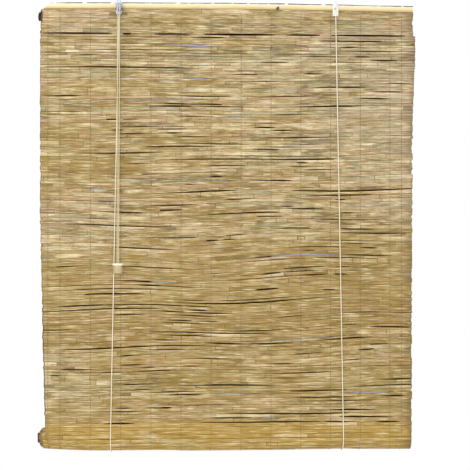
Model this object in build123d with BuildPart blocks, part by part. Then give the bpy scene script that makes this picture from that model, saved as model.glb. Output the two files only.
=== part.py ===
"""Bamboo roll up blind: a split-bamboo mat hung from a head rail, part rolled up on a bottom pole.

X runs along the width, the room side faces -Y, the wall side is +Y and Z points up.
The origin lies midway between the two hang holes, in the middle of the hanger plates.
"""
import os
import random
from math import acos, atan2, cos, hypot, pi, radians, sin, sqrt, tan

from build123d import *

os.makedirs("parts", exist_ok=True)

# Slatted mat
mat_width = 900.0
slat_width = 8.5
slat_spread = 0.22
slat_thickness = 2.4
thinnest_share = 0.8
slat_bevel = 0.8
groove_depth = 0.75
shallow_groove_depth = 0.3
hem_end_z = -77.0
hem_trim = 8.0
slit_height = 1.7
slit_shortest = 45.0
slit_longest = 210.0
slit_edge_margin = 12.0
slit_lean = 0.5
slit_flat_share = 0.25
slit_limit = 110
mat_seed = 41
path_step = 0.05

# Head rail and the pole inside the hem
rail_length = 885.0
rail_height = 15.0
rail_depth = 26.0
rail_edge_radius = 2.0
rail_end_cut = 18.5
rail_top_z = -5.5
head_pole_radius = 11.0
head_pole_left = 458.0
head_pole_right = 442.0
head_pole_end_slant = 10.0
head_pole_first_ring = -370.0
pole_bore_radius = 7.5
pole_bore_depth = 90.0
pole_ring_height = 0.6
pole_ring_groove = 0.3
pole_ring_half_length = 5.0
pole_ring_crest = 1.2
internode_length = 228.0

# Bottom roll and its pole
roll_drop = 1054.0
roll_radius = 33.0
turn_pitch = 4.4
bottom_pole_radius = 12.0
bottom_pole_left = 467.0
bottom_pole_right = 452.0
bottom_pole_first_ring = -300.0
telescope_length = 14.0

# Hangers, screws and the double pulley
hanger_spacing = 524.0
plate_width = 14.0
plate_thickness = 1.5
plate_bottom_z = -32.0
shoulder_rise = 3.0
eye_radius = 5.0
hang_hole_radius = 2.2
foot_depth = 8.0
foot_hole_radius = 2.0
foot_corner_radius = 2.6
screw_length = 18.0
screw_point_length = 4.0
screw_radius = 1.4
screw_head_radius = 3.0
countersink_angle = 90.0
rail_screw_z = -13.0
pole_screw_z = -27.0
cheek_thickness = 1.2
cheek_end_radius = 6.0
sheave_radius = 9.0
sheave_groove_radius = 7.3
sheave_groove_slope = 0.45
sheave_rim = 0.9
sheave_side_clearance = 0.3
pin_radius = 1.5
pin_head_radius = 2.6
pin_head_length = 0.8

# Screw eyes behind the head rail
eye_wire_radius = 1.0
eye_ring_radius = 3.4
eye_shank_length = 12.0
eye_stand_off = 7.5
strand_eye_z = -16.5
cross_eye_z = -9.5
cross_eye_inset = 22.0

# Cords
cord_radius = 1.2
sling_spacing = 564.0
sling_rear_rise = 18.0
knot_radius = 3.3
knot_length = 5.4
knot_end_radius = 2.3
knot_shoulder = 1.9
cord_notch_margin = 0.8
bend_share = 0.45

# Pull knob
knob_offset = 2.0
knob_top_z = -630.0
knob_radius = 11.4
knob_length = 19.0
knob_waist = 1.6
knob_belly_share = 0.6
cap_radius = 13.0
cap_thickness = 5.0
cap_edge_radius = 1.6
knob_cavity_radius = 6.5
knob_cavity_depth = 12.0

# Clearances
seat_gap = 0.3
cord_gap = 0.3
roll_to_sling_gap = 0.8
hole_clearance = 0.05
joint_gap = 0.3
kink_gap = 0.8

# Places that follow from the sizes above
half_plate = plate_thickness / 2
plate_height = rail_top_z + shoulder_rise - plate_bottom_z
hem_path_radius = head_pole_radius + pole_ring_height + seat_gap + slat_thickness / 2
hem_reach = hypot(hem_path_radius + slat_thickness / 2, slat_width / 2 - slat_bevel)
head_pole_y = half_plate + seat_gap + hem_reach
head_pole_z = rail_top_z - rail_height - seat_gap - hem_reach
sheet_y = head_pole_y - hem_path_radius
roll_y = sheet_y - slat_thickness / 2 + roll_radius
roll_path_radius = roll_radius - slat_thickness / 2
core_path_radius = bottom_pole_radius + pole_ring_height + seat_gap + slat_thickness / 2
roll_turns = (roll_path_radius - core_path_radius) / turn_pitch
sling_radius = roll_radius + roll_to_sling_gap + cord_radius
hanger_x = hanger_spacing / 2
sling_x = sling_spacing / 2
foot_top_z = plate_bottom_z + plate_thickness
knot_y = -half_plate - foot_depth / 2
cheek_gap = plate_width - 2 * cheek_thickness
sheave_width = (cheek_gap - 3 * sheave_side_clearance) / 2
sheave_offset = (sheave_width + sheave_side_clearance) / 2
cord_on_sheave = sheave_groove_radius + cord_radius + cord_gap
sheave_y = -half_plate - cord_gap - sheave_radius
sheave_z = rail_top_z - cord_on_sheave
rail_back_y = half_plate + rail_depth
strand_eye_y = rail_back_y + eye_stand_off


def slat_widths(total, seed):
    """Split a length into slats of uneven width."""
    draw = random.Random(seed)
    count = max(1, round(total / slat_width))
    shares = [1 + draw.uniform(-slat_spread, slat_spread) for _ in range(count)]
    return [total * share / sum(shares) for share in shares]


def hem_tangent_angle():
    """Angle, seen along the head pole, at which the hem flap leaves the pole."""
    flap_y = sheet_y + slat_thickness + seat_gap - head_pole_y
    flap_z = hem_end_z - head_pole_z
    return atan2(flap_z, flap_y) + acos(hem_path_radius / hypot(flap_y, flap_z))


def hem_runs():
    """Start (y, z) and end (y, z) of the hem's rear flap, and the angle at which it leaves the pole."""
    angle = hem_tangent_angle()
    flap_y = sheet_y + slat_thickness + seat_gap
    leave_y = head_pole_y + hem_path_radius * cos(angle)
    leave_z = head_pole_z + hem_path_radius * sin(angle)
    return (flap_y, hem_end_z), (leave_y, leave_z), angle


def hem_path(distance):
    """Point (y, z) on the hem's middle line, from its rear end, over the pole and down in front."""
    (flap_y, flap_z), (leave_y, leave_z), angle = hem_runs()
    flap_length = hypot(leave_y - flap_y, leave_z - flap_z)
    arc_length = hem_path_radius * (pi - angle)
    if distance < flap_length:
        share = distance / flap_length
        return (flap_y + share * (leave_y - flap_y), flap_z + share * (leave_z - flap_z))
    if distance < flap_length + arc_length:
        turn = angle + (distance - flap_length) / hem_path_radius
        return (head_pole_y + hem_path_radius * cos(turn), head_pole_z + hem_path_radius * sin(turn))
    return (sheet_y, head_pole_z - (distance - flap_length - arc_length))


def hem_length():
    """Length of mat in the hem, from its rear end round the pole to the same level in front."""
    (flap_y, flap_z), (leave_y, leave_z), angle = hem_runs()
    flap_length = hypot(leave_y - flap_y, leave_z - flap_z)
    return flap_length + hem_path_radius * (pi - angle) + head_pole_z - hem_end_z


def sheet_path(distance):
    """Point (y, z) on the hanging sheet's middle line, from just under the hem downward."""
    return (sheet_y, hem_end_z - joint_gap - distance)


def roll_path(distance):
    """Point (y, z) on the roll's middle line, from the front of the roll round to its core."""
    slope = turn_pitch / (2 * pi)
    turn = (roll_path_radius - sqrt(roll_path_radius**2 - 2 * slope * distance)) / slope
    radius = roll_path_radius - slope * turn
    return (roll_y - radius * cos(turn), -roll_drop - radius * sin(turn))


def roll_length():
    """Length of mat that is wound up on the bottom pole."""
    return pi * (roll_path_radius + core_path_radius) * roll_turns


def slatted_outline(path, widths, seed, groove):
    """Closed outline of a band of slats laid side by side along a path."""
    draw = random.Random(seed)
    front = []
    back = []
    start = 0.0
    for number, width in enumerate(widths):
        middle = start + width / 2
        y_0, z_0 = path(middle - path_step)
        y_1, z_1 = path(middle + path_step)
        along = Vector(y_1 - y_0, z_1 - z_0).normalized()
        out = Vector(along.Y, -along.X)
        centre = Vector((y_0 + y_1) / 2, (z_0 + z_1) / 2)
        thin = draw.uniform(0, (1 - thinnest_share) * slat_thickness)
        face = width / 2 - slat_bevel
        if number:
            y_edge, z_edge = path(start)
            edge = Vector(y_edge, z_edge)
            front.append(edge + out * (slat_thickness / 2 - groove))
            back.append(edge - out * (slat_thickness / 2 - groove))
        front.append(centre - along * face + out * (slat_thickness / 2 - thin))
        front.append(centre + along * face + out * (slat_thickness / 2 - thin))
        back.append(centre - along * face - out * slat_thickness / 2)
        back.append(centre + along * face - out * slat_thickness / 2)
        start += width
    return front + back[::-1]


def corner_radii(points):
    """Largest sound bend radius at each corner of a cord's route."""
    radii = []
    for before, corner, after in zip(points, points[1:], points[2:]):
        run_in = Vector(*corner) - Vector(*before)
        run_out = Vector(*after) - Vector(*corner)
        half_turn = radians(run_in.get_angle(run_out)) / 2
        radii.append(bend_share * min(run_in.length, run_out.length) / tan(half_turn))
    return radii


def cord_tube(points, radii):
    """Cord laid along a route of straight runs with rounded corners."""
    with BuildPart() as tube:
        with BuildLine() as route:
            if radii:
                FilletPolyline(*points, radius=radii)
            else:
                Line(*points)
        with BuildSketch(Plane(origin=route.line @ 0, z_dir=route.line % 0)):
            Circle(cord_radius)
        sweep(path=route.line)
    return tube.part


def save(part, name):
    """Label a finished piece and write it to its own file."""
    part.label = name
    export_step(part, f"parts/{name}.step")


def pole_outline(left, right, radius, first_ring):
    """Half section of a bamboo pole along X: rings at its nodes and a hollow at each end."""
    points = [(left, pole_bore_radius), (left, radius)]
    ring = first_ring
    while ring < right - 4 * pole_ring_half_length:
        points += [
            (ring - pole_ring_half_length, radius),
            (ring - pole_ring_crest, radius + pole_ring_height),
            (ring + pole_ring_crest, radius + pole_ring_height),
            (ring + pole_ring_half_length / 2, radius - pole_ring_groove),
            (ring + pole_ring_half_length, radius),
        ]
        ring += internode_length
    points += [(right, radius), (right, pole_bore_radius)]
    points += [(right - pole_bore_depth, pole_bore_radius), (right - pole_bore_depth, 0)]
    points += [(left + pole_bore_depth, 0), (left + pole_bore_depth, pole_bore_radius)]
    return points


# Head rail: a planed lath, mitred at its left end, with a notch that lets the pull cords over
with BuildPart() as head_rail:
    with BuildSketch(Plane.XZ.offset(-half_plate)):
        with BuildLine():
            Polyline(
                (-rail_length / 2, rail_top_z - rail_height),
                (-rail_length / 2 + rail_end_cut, rail_top_z),
                (rail_length / 2, rail_top_z),
                (rail_length / 2, rail_top_z - rail_height),
                close=True,
            )
        make_face()
    extrude(amount=-rail_depth)
    fillet(head_rail.edges().filter_by(Axis.X), rail_edge_radius)
    with BuildSketch(Plane.XY.offset(rail_top_z)):
        with Locations((-hanger_x, half_plate + rail_depth / 2)):
            Rectangle(2 * (sheave_offset + cord_radius + cord_notch_margin), 2 * rail_depth)
    extrude(amount=-(cord_radius + cord_notch_margin), mode=Mode.SUBTRACT)
    for side in (-1, 1):
        with BuildSketch(Plane.XZ.offset(-half_plate)):
            with Locations((side * hanger_x, rail_screw_z)):
                Circle(screw_radius + hole_clearance)
        extrude(amount=-screw_length, mode=Mode.SUBTRACT)
    for side in (-1, 1):
        for eye_x, eye_z in (
            (side * hanger_x, strand_eye_z),
            (side * (hanger_x - cross_eye_inset), cross_eye_z),
        ):
            with BuildSketch(Plane.XZ.offset(-rail_back_y)):
                with Locations((eye_x, eye_z)):
                    Circle(eye_wire_radius + hole_clearance)
            extrude(amount=eye_shank_length, mode=Mode.SUBTRACT)
save(head_rail.part, "head_rail")


# Head pole: a bamboo pole inside the hem, its left end cut on the slant so that its hollow shows
head_pole_plane = Plane(origin=(0, head_pole_y, head_pole_z), x_dir=(1, 0, 0), z_dir=(0, 0, 1))
head_pole_axis = Axis((0, head_pole_y, head_pole_z), (1, 0, 0))
with BuildPart() as head_pole:
    with BuildSketch(head_pole_plane):
        with BuildLine():
            outline = pole_outline(
                -head_pole_left, head_pole_right, head_pole_radius, head_pole_first_ring
            )
            Polyline(*outline, close=True)
        make_face()
    revolve(axis=head_pole_axis)
    slant_reach = 2 * head_pole_radius
    with BuildSketch(Plane.XY.offset(head_pole_z - slant_reach)):
        with BuildLine():
            slant = head_pole_end_slant * slant_reach / head_pole_radius / 2
            Polyline(
                (-head_pole_left + head_pole_end_slant / 2 - slant, head_pole_y + slant_reach),
                (-head_pole_left + head_pole_end_slant / 2 + slant, head_pole_y - slant_reach),
                (-head_pole_left - slant_reach, head_pole_y - slant_reach),
                (-head_pole_left - slant_reach, head_pole_y + slant_reach),
                close=True,
            )
        make_face()
    extrude(amount=2 * slant_reach, mode=Mode.SUBTRACT)
    for side in (-1, 1):
        with BuildSketch(Plane.XZ.offset(-half_plate)):
            with Locations((side * hanger_x, pole_screw_z)):
                Circle(screw_radius + hole_clearance)
        extrude(amount=-screw_length, mode=Mode.SUBTRACT)
save(head_pole.part, "head_pole")


# Mat hem: the mat's top, doubled back over the head pole and trimmed short at its right end
hem_widths = slat_widths(hem_length(), mat_seed)
with BuildPart() as mat_hem:
    with BuildSketch(Plane.YZ.offset(-mat_width / 2)):
        with BuildLine():
            Polyline(*slatted_outline(hem_path, hem_widths, mat_seed, shallow_groove_depth), close=True)
        make_face()
    extrude(amount=mat_width - hem_trim)
    for side in (-1, 1):
        with BuildSketch(Plane.XZ.offset(-half_plate)):
            with Locations((side * hanger_x, pole_screw_z)):
                Circle(screw_radius + seat_gap)
        extrude(amount=-screw_length, mode=Mode.SUBTRACT)
save(mat_hem.part, "mat_hem")


# Slatted mat: the sheet that hangs from the hem, with lens-shaped gaps between its uneven slats
sheet_length = roll_drop + hem_end_z - 2 * joint_gap
sheet_widths = slat_widths(sheet_length, mat_seed + 1)
with BuildPart() as slat_mat:
    with BuildSketch(Plane.YZ.offset(-mat_width / 2)):
        with BuildLine():
            Polyline(*slatted_outline(sheet_path, sheet_widths, mat_seed + 1, groove_depth), close=True)
        make_face()
    extrude(amount=mat_width)
    draw = random.Random(mat_seed)
    with BuildSketch(Plane.XZ):
        seam = 0.0
        for width in sheet_widths[:slit_limit]:
            seam += width
            seam_z = sheet_path(seam)[1]
            half_slit = draw.uniform(slit_shortest, slit_longest) / 2
            reach = mat_width / 2 - slit_edge_margin - half_slit
            lean = draw.uniform(-slit_lean, slit_lean) * half_slit
            flat = slit_flat_share * half_slit
            with Locations((draw.uniform(-reach, reach), seam_z)):
                Polygon(
                    (-half_slit, 0),
                    (lean - flat, -slit_height / 2),
                    (lean + flat, -slit_height / 2),
                    (half_slit, 0),
                    (lean, slit_height / 2),
                    align=None,
                )
    extrude(amount=roll_radius, both=True, mode=Mode.SUBTRACT)
save(slat_mat.part, "slat_mat")


# Hangers: stamped plates with a hang hole, a cord foot and, at the left, the pulley's cheeks
for side, name in ((-1, "hanger_left"), (1, "hanger_right")):
    plate_x = side * hanger_x
    with BuildPart() as hanger:
        with BuildSketch(Plane.XZ.offset(-half_plate)):
            with Locations((plate_x, plate_bottom_z)):
                Rectangle(plate_width, plate_height, align=(Align.CENTER, Align.MIN))
            with Locations((plate_x, rail_top_z)):
                Rectangle(2 * eye_radius, -rail_top_z, align=(Align.CENTER, Align.MIN))
            with Locations((plate_x, 0)):
                Circle(eye_radius)
            with Locations((plate_x, 0)):
                Circle(hang_hole_radius, mode=Mode.SUBTRACT)
        extrude(amount=plate_thickness)
        with BuildSketch(Plane.XY.offset(plate_bottom_z)):
            with Locations((plate_x, half_plate)):
                Rectangle(plate_width, plate_thickness + foot_depth, align=(Align.CENTER, Align.MAX))
            with Locations((plate_x, knot_y)):
                Circle(foot_hole_radius, mode=Mode.SUBTRACT)
        extrude(amount=plate_thickness)
        foot_edge = hanger.edges().filter_by(Axis.Z).group_by(Axis.Y)[0]
        fillet(foot_edge, foot_corner_radius)
        for screw_z in (rail_screw_z, pole_screw_z):
            with Locations(Plane.XZ.offset(half_plate) * Location((plate_x, screw_z, 0))):
                CounterSinkHole(
                    screw_radius + hole_clearance,
                    screw_head_radius + hole_clearance,
                    depth=plate_thickness,
                    counter_sink_angle=countersink_angle,
                )
        if side < 0:
            for cheek_x in (plate_x - plate_width / 2, plate_x + plate_width / 2 - cheek_thickness):
                with BuildSketch(Plane.YZ.offset(cheek_x)):
                    with Locations((half_plate, sheave_z)):
                        Rectangle(
                            half_plate - sheave_y, 2 * cheek_end_radius, align=(Align.MAX, Align.CENTER)
                        )
                    with Locations((sheave_y, sheave_z)):
                        Circle(cheek_end_radius)
                    with Locations((sheave_y, sheave_z)):
                        Circle(pin_radius + hole_clearance, mode=Mode.SUBTRACT)
                extrude(amount=cheek_thickness)
            with BuildSketch(Plane.XZ.offset(-half_plate)):
                for cord_x in (plate_x - sheave_offset, plate_x + sheave_offset):
                    with Locations((cord_x, rail_top_z)):
                        Circle(cord_radius + cord_notch_margin)
            extrude(amount=plate_thickness, mode=Mode.SUBTRACT)
    save(hanger.part, name)


# Hanger screws: two countersunk wood screws through each plate, one into the rail, one into the pole
with BuildPart() as hanger_screws:
    for side in (-1, 1):
        for screw_z in (rail_screw_z, pole_screw_z):
            screw_plane = Plane(origin=(side * hanger_x, 0, screw_z), x_dir=(1, 0, 0), z_dir=(0, 0, 1))
            head_depth = plate_thickness - 2 * hole_clearance
            with BuildSketch(screw_plane):
                with BuildLine():
                    Polyline(
                        (0, -half_plate),
                        (screw_head_radius, -half_plate),
                        (screw_radius, -half_plate + head_depth),
                        (screw_radius, screw_length - plate_thickness - screw_point_length),
                        (0, screw_length - plate_thickness),
                        close=True,
                    )
                make_face()
            revolve(axis=Axis((side * hanger_x, 0, screw_z), (0, 1, 0)))
save(hanger_screws.part, "hanger_screws")


# Pulley pin and the two sheaves, one for each lift cord
pin_half = plate_width / 2 + pin_head_length
with BuildPart() as pulley_pin:
    with BuildSketch(Plane.YZ.offset(-hanger_x - pin_half)):
        with Locations((sheave_y, sheave_z)):
            Circle(pin_head_radius)
    extrude(amount=pin_head_length)
    with BuildSketch(Plane.YZ.offset(-hanger_x - pin_half)):
        with Locations((sheave_y, sheave_z)):
            Circle(pin_radius)
    extrude(amount=2 * pin_half)
    with BuildSketch(Plane.YZ.offset(-hanger_x + pin_half - pin_head_length)):
        with Locations((sheave_y, sheave_z)):
            Circle(pin_head_radius)
    extrude(amount=pin_head_length)
save(pulley_pin.part, "pulley_pin")

for side, name in ((-1, "sheave_outer"), (1, "sheave_inner")):
    sheave_x = -hanger_x + side * sheave_offset
    sheave_plane = Plane(origin=(sheave_x, sheave_y, sheave_z), x_dir=(1, 0, 0), z_dir=(0, 0, 1))
    with BuildPart() as sheave:
        with BuildSketch(sheave_plane):
            with BuildLine():
                half_width = sheave_width / 2
                half_groove = half_width - sheave_rim - sheave_groove_slope
                Polyline(
                    (-half_width, pin_radius + hole_clearance),
                    (-half_width, sheave_radius),
                    (-half_width + sheave_rim, sheave_radius),
                    (-half_groove, sheave_groove_radius),
                    (half_groove, sheave_groove_radius),
                    (half_width - sheave_rim, sheave_radius),
                    (half_width, sheave_radius),
                    (half_width, pin_radius + hole_clearance),
                    close=True,
                )
            make_face()
        revolve(axis=Axis((sheave_x, sheave_y, sheave_z), (1, 0, 0)))
    save(sheave.part, name)


# Screw eyes in the rail's back: two take the rear strands, two carry the cord that crosses over
for side, place in ((-1, "left"), (1, "right")):
    for use, eye_x, eye_z, ring_axis in (
        ("strand", side * hanger_x, strand_eye_z, (0, 0, 1)),
        ("cross", side * (hanger_x - cross_eye_inset), cross_eye_z, (1, 0, 0)),
    ):
        eye_centre = Vector(eye_x, strand_eye_y, eye_z)
        section_side = Vector(ring_axis).cross(Vector(0, 1, 0))
        with BuildPart() as screw_eye:
            with BuildSketch(Plane(origin=eye_centre, x_dir=(0, 1, 0), z_dir=section_side)):
                with Locations((eye_ring_radius, 0)):
                    Circle(eye_wire_radius)
            revolve(axis=Axis(eye_centre, ring_axis))
            with BuildSketch(Plane.XZ.offset(-strand_eye_y + eye_ring_radius)):
                with Locations((eye_x, eye_z)):
                    Circle(eye_wire_radius)
            extrude(amount=eye_stand_off - eye_ring_radius + eye_shank_length - seat_gap)
        save(screw_eye.part, f"{use}_eye_{place}")


# Bottom pole and the rolled-up part of the mat, whose turns stand out at the left like a telescope
bottom_pole_plane = Plane(origin=(0, roll_y, -roll_drop), x_dir=(1, 0, 0), z_dir=(0, 0, 1))
roll_axis = Axis((0, roll_y, -roll_drop), (1, 0, 0))
with BuildPart() as bottom_pole:
    with BuildSketch(bottom_pole_plane):
        with BuildLine():
            outline = pole_outline(
                -bottom_pole_left, bottom_pole_right, bottom_pole_radius, bottom_pole_first_ring
            )
            Polyline(*outline, close=True)
        make_face()
    revolve(axis=roll_axis)
save(bottom_pole.part, "bottom_pole")

roll_left = mat_width / 2 + telescope_length
with BuildPart() as bottom_roll:
    with BuildSketch(Plane.YZ.offset(-roll_left)):
        with BuildLine():
            roll_widths = slat_widths(roll_length(), mat_seed + 2)
            outline = slatted_outline(roll_path, roll_widths, mat_seed + 2, shallow_groove_depth)
            Polyline(*outline, close=True)
        make_face()
    extrude(amount=roll_left + mat_width / 2)
    with BuildSketch(bottom_pole_plane):
        with BuildLine():
            Polyline(
                (-roll_left - telescope_length, core_path_radius),
                (-roll_left, core_path_radius),
                (-mat_width / 2, roll_radius),
                (-mat_width / 2, 2 * roll_radius),
                (-roll_left - telescope_length, 2 * roll_radius),
                close=True,
            )
        make_face()
    revolve(axis=roll_axis, mode=Mode.SUBTRACT)
save(bottom_roll.part, "bottom_roll")


# Cords: slings under the roll, front strands to the hangers' feet, rear strands to the screw eyes
rise = radians(sling_rear_rise)
rear_y = roll_y + sling_radius * cos(rise)
rear_z = -roll_drop + sling_radius * sin(rise)
for side, place in ((-1, "left"), (1, "right")):
    sling_plane = Plane(origin=(side * sling_x, roll_y, -roll_drop), x_dir=(0, 1, 0), z_dir=(1, 0, 0))
    with BuildPart() as sling:
        with BuildLine(sling_plane) as sling_route:
            CenterArc((0, 0), sling_radius, 180, 180 + sling_rear_rise)
        with BuildSketch(Plane(origin=sling_route.line @ 0, z_dir=sling_route.line % 0)):
            Circle(cord_radius)
        sweep(path=sling_route.line)
    save(sling.part, f"cord_sling_{place}")

    front_top = Vector(side * hanger_x, knot_y, foot_top_z - cord_gap)
    front_end = Vector(side * sling_x, roll_y - sling_radius, -roll_drop + joint_gap)
    save(cord_tube([front_top, front_end], []), f"front_cord_{place}")

    rear_top = Vector(side * hanger_x, strand_eye_y, strand_eye_z)
    rear_end = Vector(side * sling_x, rear_y, rear_z)
    rear_run = (rear_end - rear_top).normalized()
    save(cord_tube([rear_top, rear_end - rear_run * kink_gap], []), f"rear_cord_{place}")

    with BuildPart() as knot:
        knot_plane = Plane(origin=(side * hanger_x, knot_y, foot_top_z), x_dir=(1, 0, 0), z_dir=(0, -1, 0))
        with BuildSketch(knot_plane):
            with BuildLine():
                Polyline(
                    (0, 0),
                    (knot_end_radius, 0),
                    (knot_radius, knot_shoulder),
                    (knot_radius, knot_length - knot_shoulder),
                    (knot_end_radius, knot_length),
                    (0, knot_length),
                    close=True,
                )
            make_face()
        revolve(axis=Axis((side * hanger_x, knot_y, foot_top_z), (0, 0, 1)))
    save(knot.part, f"foot_knot_{place}")

# Over cords: the left lift cord rises to its sheave, the right one crosses behind the rail to the other
outer_x = -hanger_x - sheave_offset
inner_x = -hanger_x + sheave_offset
pull_y = sheave_y - cord_on_sheave
pull_top_z = sheave_z - cord_radius - sheave_rim
cross_x = hanger_x - cross_eye_inset
over_routes = {
    "over_cord_left": [
        (-hanger_x, strand_eye_y, strand_eye_z),
        (-hanger_x, strand_eye_y, rail_top_z),
        (outer_x, half_plate, rail_top_z),
        (outer_x, pull_y, rail_top_z),
        (outer_x, pull_y, pull_top_z),
    ],
    "cross_cord": [
        (hanger_x, strand_eye_y, strand_eye_z),
        (hanger_x, strand_eye_y, cross_eye_z),
        (-cross_x, strand_eye_y, cross_eye_z),
        (inner_x, strand_eye_y, rail_top_z),
        (inner_x, pull_y, rail_top_z),
        (inner_x, pull_y, pull_top_z),
    ],
}
for name, points in over_routes.items():
    radii = corner_radii(points)
    radii[-1] = cord_on_sheave
    print(name, "bend radii in mm", [round(radius, 1) for radius in radii])
    over_cord = cord_tube(points, radii)
    save(over_cord, name)


# Pull cords and their knob: a turned knob under a cap, with the cords knotted in its hollow
knob_x = -hanger_x - knob_offset
cap_bottom_z = knob_top_z - cap_thickness
knob_bottom_z = cap_bottom_z - knob_length
cavity_top_z = knob_bottom_z + knob_cavity_depth
knob_cord_offset = cord_radius + cord_gap / 2
knob_axis = Axis((knob_x, pull_y, 0), (0, 0, 1))
for side, name, top_x in ((-1, "pull_cord_outer", outer_x), (1, "pull_cord_inner", inner_x)):
    pull_end = (knob_x + side * knob_cord_offset, pull_y, cavity_top_z + joint_gap)
    save(cord_tube([(top_x, pull_y, pull_top_z), pull_end], []), name)

with BuildPart() as pull_knob:
    with BuildSketch(Plane(origin=(knob_x, pull_y, cap_bottom_z), x_dir=(1, 0, 0), z_dir=(0, -1, 0))):
        with BuildLine():
            Line((0, 0), (knob_radius - knob_waist / 2, 0))
            ThreePointArc(
                (knob_radius - knob_waist / 2, 0),
                (knob_radius, -knob_belly_share * knob_length),
                (knob_radius - knob_waist, -knob_length),
            )
            Polyline(
                (knob_radius - knob_waist, -knob_length),
                (knob_cavity_radius, -knob_length),
                (knob_cavity_radius, -knob_length + knob_cavity_depth),
                (0, -knob_length + knob_cavity_depth),
                (0, 0),
            )
        make_face()
    revolve(axis=knob_axis)
    with BuildSketch(Plane.XY.offset(cap_bottom_z)):
        with Locations((knob_x, pull_y)):
            SlotOverall(2 * (knob_cord_offset + cord_radius + cord_gap), 2 * (cord_radius + cord_gap))
    extrude(amount=-knob_length, mode=Mode.SUBTRACT)
save(pull_knob.part, "pull_knob")

with BuildPart() as pull_cap:
    with BuildSketch(Plane.XY.offset(cap_bottom_z)):
        with Locations((knob_x, pull_y)):
            Circle(cap_radius)
        with Locations((knob_x, pull_y)):
            SlotOverall(
                2 * (knob_cord_offset + cord_radius + cord_gap),
                2 * (cord_radius + cord_gap),
                mode=Mode.SUBTRACT,
            )
    extrude(amount=cap_thickness)
    rim_edges = pull_cap.edges().filter_by(GeomType.CIRCLE).sort_by(SortBy.LENGTH)[-2:]
    fillet(rim_edges, cap_edge_radius)
save(pull_cap.part, "pull_cap")

with BuildPart() as pull_knot:
    with BuildSketch(Plane.XY.offset(cavity_top_z)):
        with Locations((knob_x, pull_y)):
            Circle(knob_cavity_radius - 2 * cord_gap)
    extrude(amount=-2 * knot_radius)
    fillet(pull_knot.edges().group_by(Axis.Z)[0], knot_radius / 2)
save(pull_knot.part, "pull_knot")
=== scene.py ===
"""Bamboo roll up blind, dressed for the camera: split slats, stitch threads, cords, rail, poles and knob."""
import math
import random

import bpy
import numpy as np
from mathutils import Matrix, Vector


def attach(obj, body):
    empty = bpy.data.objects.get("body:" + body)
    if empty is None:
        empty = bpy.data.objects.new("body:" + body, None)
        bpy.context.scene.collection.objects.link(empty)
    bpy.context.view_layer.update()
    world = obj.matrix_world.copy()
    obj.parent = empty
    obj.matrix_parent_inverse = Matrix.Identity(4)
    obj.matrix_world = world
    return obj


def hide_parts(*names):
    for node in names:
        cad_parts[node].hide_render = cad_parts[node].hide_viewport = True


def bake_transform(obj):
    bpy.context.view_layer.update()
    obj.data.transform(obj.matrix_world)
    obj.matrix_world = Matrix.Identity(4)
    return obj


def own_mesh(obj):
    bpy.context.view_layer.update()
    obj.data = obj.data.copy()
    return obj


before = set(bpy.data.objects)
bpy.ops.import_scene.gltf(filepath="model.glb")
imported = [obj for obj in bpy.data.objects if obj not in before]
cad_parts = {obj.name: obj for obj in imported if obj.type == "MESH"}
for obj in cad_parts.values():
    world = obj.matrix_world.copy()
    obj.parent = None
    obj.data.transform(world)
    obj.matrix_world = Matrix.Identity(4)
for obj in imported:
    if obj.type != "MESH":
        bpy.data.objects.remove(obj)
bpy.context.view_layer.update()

mm = 0.001
full_turn = 2 * math.pi

# Sizes repeated from the part, in metres
mat_left = -450 * mm
mat_right = 450 * mm
slat_width = 8.5 * mm
slat_thickness = 2.4 * mm
hem_end_z = -77 * mm
hem_right = 453 * mm
hem_radius = 13.1 * mm
head_pole_y = 15.76 * mm
head_pole_z = -35.51 * mm
head_pole_radius = 11 * mm
sheet_y = 2.66 * mm
flap_gap = 2.7 * mm
joint_gap = 0.3 * mm
roll_y = 34.46 * mm
roll_z = -1054 * mm
roll_outer_path = 31.8 * mm
roll_core_path = 14.1 * mm
turn_pitch = 4.4 * mm
telescope_length = 10.5 * mm
rail_top_z = -5.5 * mm
rail_height = 15 * mm
rail_front_y = 0.75 * mm
rail_depth = 26 * mm
rail_end_cut = 18.5 * mm
front_top_z = -21.1 * mm
roll_outer_inset = 5 * mm
bottom_pole_radius = 12 * mm
pole_ring_pitch = 228 * mm
pole_wall = 2.2 * mm
hanger_x = 262 * mm
sling_x = 282 * mm
sling_radius = 35.0 * mm
sling_rear_rise = math.radians(18)
cord_radius = 1.2 * mm
knot_y = -4.75 * mm
foot_top_z = -30.5 * mm
knob_x = -264 * mm
pull_y = -18.85 * mm

# How far the head rail's lath has warped upward, as places along X and rises in mm
rail_bows = (
    (-440, 1.5), (-400, 2), (-300, 3), (-150, 4), (0, 5), (120, 4.6), (260, 3.6), (360, 2.4), (450, 1.2),
)


def linear(hex_colour):
    """Turn an sRGB hex colour into the linear colour that a shader takes."""
    levels = [int(hex_colour[place : place + 2], 16) / 255 for place in (1, 3, 5)]
    turned = [level / 12.92 if level <= 0.04045 else ((level + 0.055) / 1.055) ** 2.4 for level in levels]
    return (*turned, 1.0)


def new_material(name):
    """Empty node material, its tree, and the socket that lays a pattern out on the object."""
    material = bpy.data.materials.new(name)
    material.use_nodes = True
    tree = material.node_tree
    tree.nodes.clear()
    return material, tree, add_node(tree, "ShaderNodeTexCoord").outputs["Object"]


def add_node(tree, kind, inputs=(), **settings):
    """Add a shader node, give it its settings, and set or link its inputs."""
    node = tree.nodes.new(kind)
    for name, value in settings.items():
        setattr(node, name, value)
    for name, value in dict(inputs).items():
        if isinstance(value, bpy.types.NodeSocket):
            tree.links.new(value, node.inputs[name])
        else:
            node.inputs[name].default_value = value
    return node


def read_mark(tree, mark):
    """A mark that the mesh carries at each of its points."""
    return add_node(tree, "ShaderNodeAttribute", attribute_name=mark).outputs["Fac"]


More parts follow.
